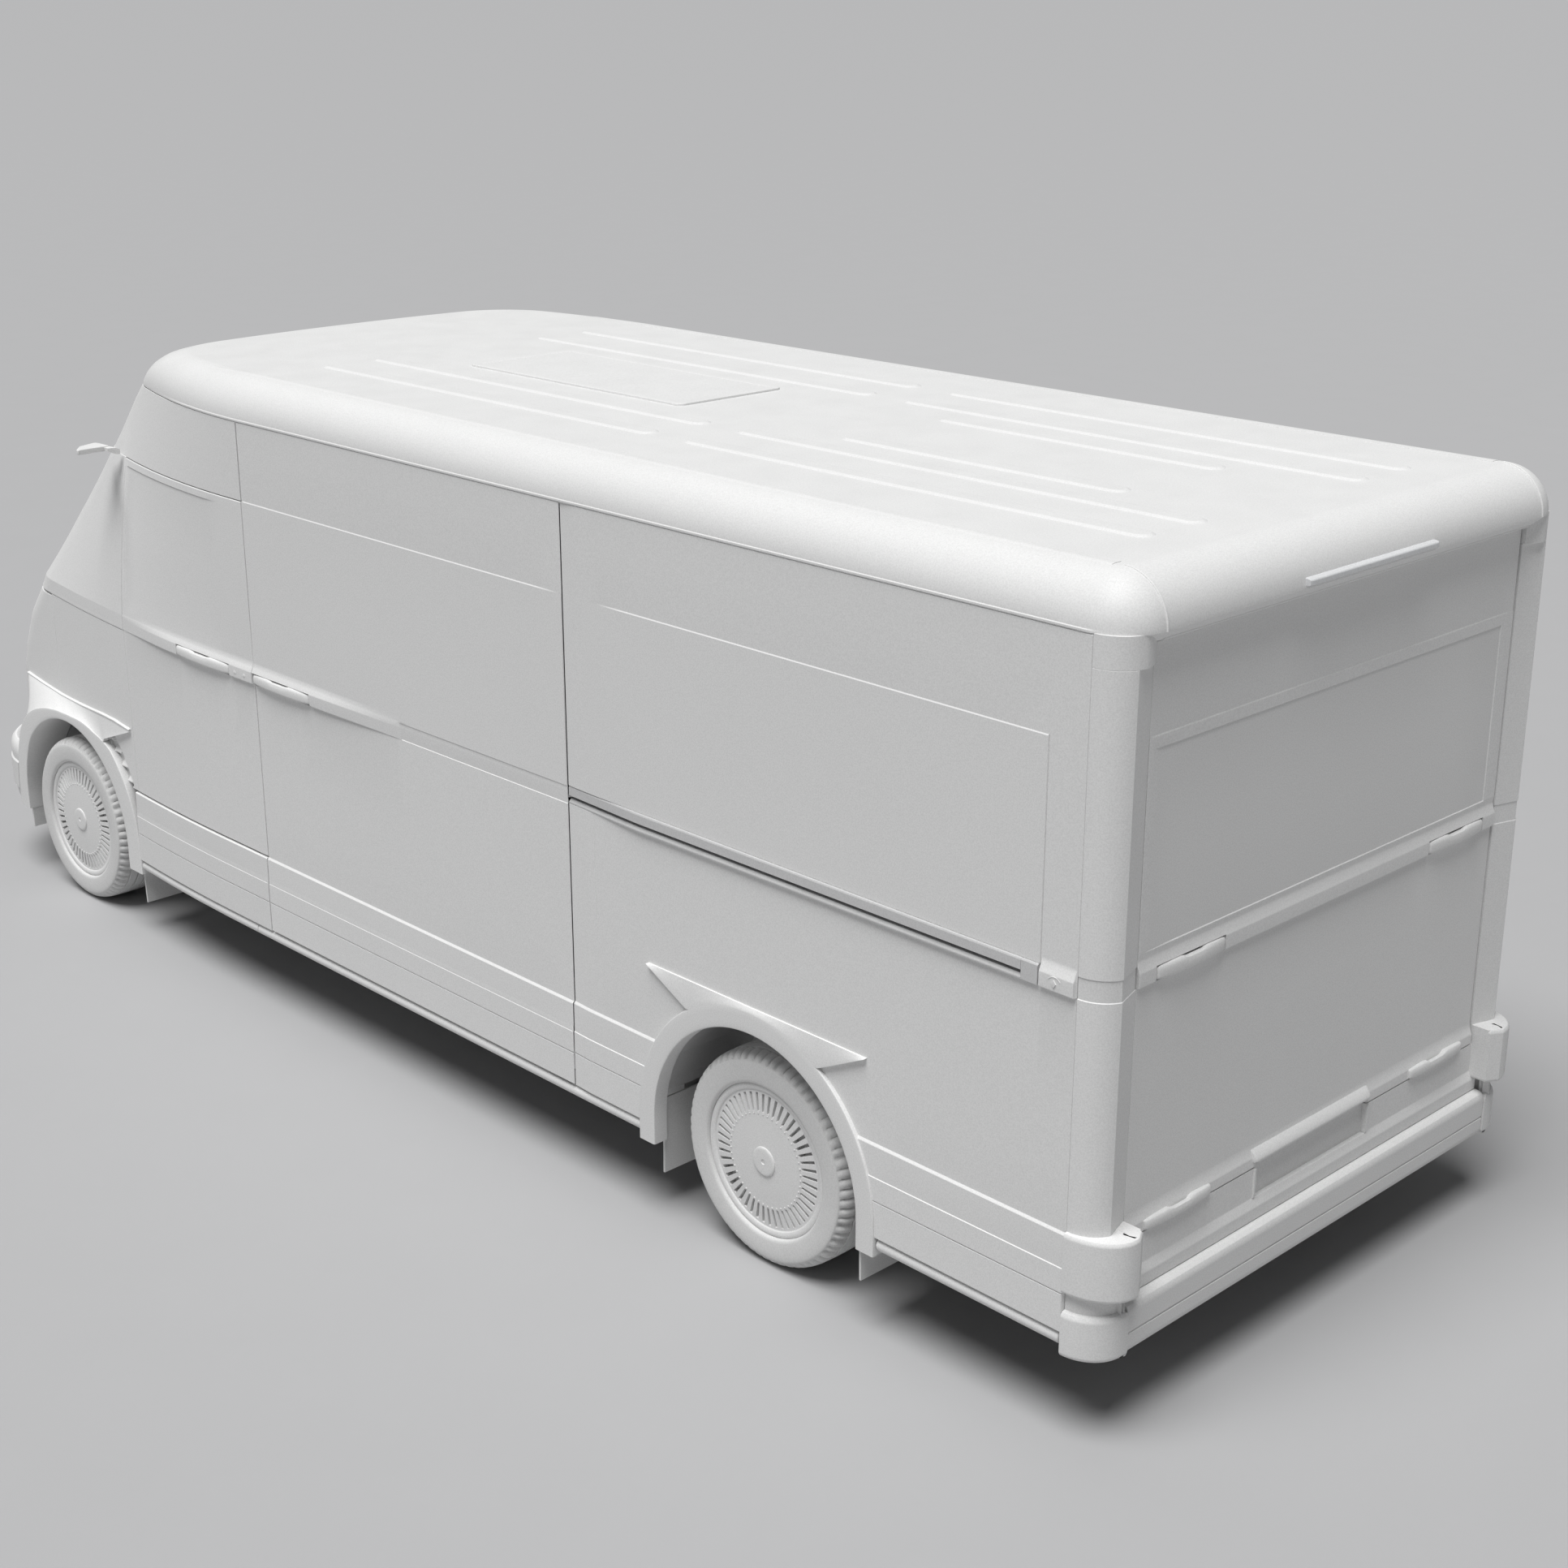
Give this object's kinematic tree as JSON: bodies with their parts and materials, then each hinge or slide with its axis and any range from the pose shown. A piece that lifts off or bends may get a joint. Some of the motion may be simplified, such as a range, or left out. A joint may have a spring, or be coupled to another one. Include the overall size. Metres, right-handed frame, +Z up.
{
  "type": "mail delivery truck",
  "caption": "Low-floor electric step van for mail and parcels, with a rounded cab, hinged cab doors, a side sliding door on a belt rail, a lift-up rear door and steered front wheels.",
  "frame": {"origin": "centre of the footprint on the ground", "axes": "+Z up, the van faces -Y, its left side is +X"},
  "size_m": [2.272, 6.476, 2.404],
  "materials": {
    "body_paint": "plain pale grey paint, satin",
    "trim": "fine-grained pale grey moulding",
    "glass": "pale and nearly opaque, smooth",
    "rubber": "matt, pale grey",
    "metal": "brushed",
    "fabric": "woven"
  },
  "bodies": {
    "van_body": {"front_fender_left": "body_paint", "front_fender_right": "body_paint", "rear_arch_trim_left": "trim", "rear_arch_trim_right": "trim", "side_panel_left": "body_paint", "side_panel_right": "body_paint", "slide_rail_left": "metal", "rocker_skirt_left": "trim", "rocker_skirt_right": "trim", "cab_side_left": "body_paint", "cab_side_right": "body_paint", "nose_panel": "body_paint", "windscreen": "glass", "front_bumper": "trim", "headlight_left": "glass", "headlight_right": "glass", "roof_panel": "body_paint", "roof_hatch": "trim", "rear_camera_pod": "glass", "rear_pillar_left": "body_paint", "rear_pillar_right": "body_paint", "corner_guard_left": "trim", "corner_guard_right": "trim", "bumper_end_cap_left": "trim", "bumper_end_cap_right": "trim", "rear_bumper_step": "trim", "cargo_floor": "metal", "cab_floor": "metal", "battery_tray": "metal", "bulkhead": "metal", "front_subframe": "metal", "rear_axle_beam": "metal", "dashboard": "trim", "seat_cushion": "fabric", "seat_back": "fabric", "mud_flap_left": "rubber", "mud_flap_right": "rubber"},
    "front_door_body_left": {"front_door_left": "body_paint"},
    "front_door_body_right": {"front_door_right": "body_paint"},
    "front_handle_body_left": {"front_door_handle_left": "trim"},
    "front_handle_body_right": {"front_door_handle_right": "trim"},
    "sliding_door_body": {"sliding_door_left": "body_paint", "roller_arm_left": "metal"},
    "sliding_handle_body": {"sliding_door_handle": "trim"},
    "tailgate_body": {"tailgate": "body_paint"},
    "latch_body_left": {"tailgate_latch_left": "trim"},
    "latch_body_right": {"tailgate_latch_right": "trim"},
    "knuckle_left": {"steering_knuckle_left": "metal"},
    "knuckle_right": {"steering_knuckle_right": "metal"},
    "front_wheel_left": {"tyre_front_left": "rubber", "wheel_front_left": "metal"},
    "front_wheel_right": {"tyre_front_right": "rubber", "wheel_front_right": "metal"},
    "rear_wheel_left": {"tyre_rear_left": "rubber", "wheel_rear_left": "metal"},
    "rear_wheel_right": {"tyre_rear_right": "rubber", "wheel_rear_right": "metal"},
    "steering_wheel_body": {"steering_wheel": "trim"},
    "wing_left": {"camera_wing_left": "trim"},
    "wing_right": {"camera_wing_right": "trim"}
  },
  "joints": [
    {"name": "front_door_left_swing", "type": "hinge", "parent": "van_body", "child": "front_door_body_left", "pos_m": [1.005, -1.746, 1.3], "axis": [0, 0, -1], "range_deg": [0, 70]},
    {"name": "front_door_right_swing", "type": "hinge", "parent": "van_body", "child": "front_door_body_right", "pos_m": [-1.005, -1.746, 1.3], "axis": [0, 0, 1], "range_deg": [0, 70]},
    {"name": "front_handle_left_pull", "type": "hinge", "parent": "front_door_body_left", "child": "front_handle_body_left", "pos_m": [1.024, -1.0985, 1.301], "axis": [0, 1, 0], "range_deg": [0, 25]},
    {"name": "front_handle_right_pull", "type": "hinge", "parent": "front_door_body_right", "child": "front_handle_body_right", "pos_m": [-1.024, -1.0985, 1.301], "axis": [0, -1, 0], "range_deg": [0, 25]},
    {"name": "sliding_door_slide", "type": "slide", "parent": "van_body", "child": "sliding_door_body", "axis": [0.0549, 0.9985, 0], "range_m": [0, 1.5]},
    {"name": "sliding_handle_pull", "type": "hinge", "parent": "sliding_door_body", "child": "sliding_handle_body", "pos_m": [1.024, -0.567, 1.301], "axis": [0, 1, 0], "range_deg": [0, 25]},
    {"name": "tailgate_lift", "type": "hinge", "parent": "van_body", "child": "tailgate_body", "pos_m": [0, 3.146, 2.222], "axis": [1, 0, 0], "range_deg": [0, 90]},
    {"name": "latch_left_pull", "type": "hinge", "parent": "tailgate_body", "child": "latch_body_left", "pos_m": [0.651, 3.138, 1.301], "axis": [-1, 0, 0], "range_deg": [0, 25]},
    {"name": "latch_right_pull", "type": "hinge", "parent": "tailgate_body", "child": "latch_body_right", "pos_m": [-0.651, 3.138, 1.301], "axis": [-1, 0, 0], "range_deg": [0, 25]},
    {"name": "steer_left", "type": "hinge", "parent": "van_body", "child": "knuckle_left", "pos_m": [0.8, -2.308, 0.35], "axis": [0, 0, 1], "range_deg": [-30, 30]},
    {"name": "steer_right", "type": "hinge", "parent": "van_body", "child": "knuckle_right", "pos_m": [-0.8, -2.308, 0.35], "axis": [0, 0, 1], "range_deg": [-30, 30]},
    {"name": "front_wheel_left_spin", "type": "hinge", "parent": "knuckle_left", "child": "front_wheel_left", "pos_m": [0.882, -2.308, 0.35], "axis": [1, 0, 0], "continuous": true},
    {"name": "front_wheel_right_spin", "type": "hinge", "parent": "knuckle_right", "child": "front_wheel_right", "pos_m": [-0.882, -2.308, 0.35], "axis": [1, 0, 0], "continuous": true},
    {"name": "rear_wheel_left_spin", "type": "hinge", "parent": "van_body", "child": "rear_wheel_left", "pos_m": [0.882, 1.879, 0.35], "axis": [1, 0, 0], "continuous": true},
    {"name": "rear_wheel_right_spin", "type": "hinge", "parent": "van_body", "child": "rear_wheel_right", "pos_m": [-0.882, 1.879, 0.35], "axis": [1, 0, 0], "continuous": true},
    {"name": "steering_wheel_turn", "type": "hinge", "parent": "van_body", "child": "steering_wheel_body", "pos_m": [0.48, -1.79, 1.15], "axis": [0, 0.848, 0.5299], "range_deg": [-540, 540]},
    {"name": "wing_left_fold", "type": "hinge", "parent": "van_body", "child": "wing_left", "pos_m": [0.934, -1.745, 1.995], "axis": [0, 0, 1], "range_deg": [0, 55]},
    {"name": "wing_right_fold", "type": "hinge", "parent": "van_body", "child": "wing_right", "pos_m": [-0.934, -1.745, 1.995], "axis": [0, 0, -1], "range_deg": [0, 55]}
  ],
  "couplings": [
    {"joint": "steer_right", "follows": "steer_left", "ratio": 1},
    {"joint": "steering_wheel_turn", "follows": "steer_left", "ratio": 18}
  ]
}
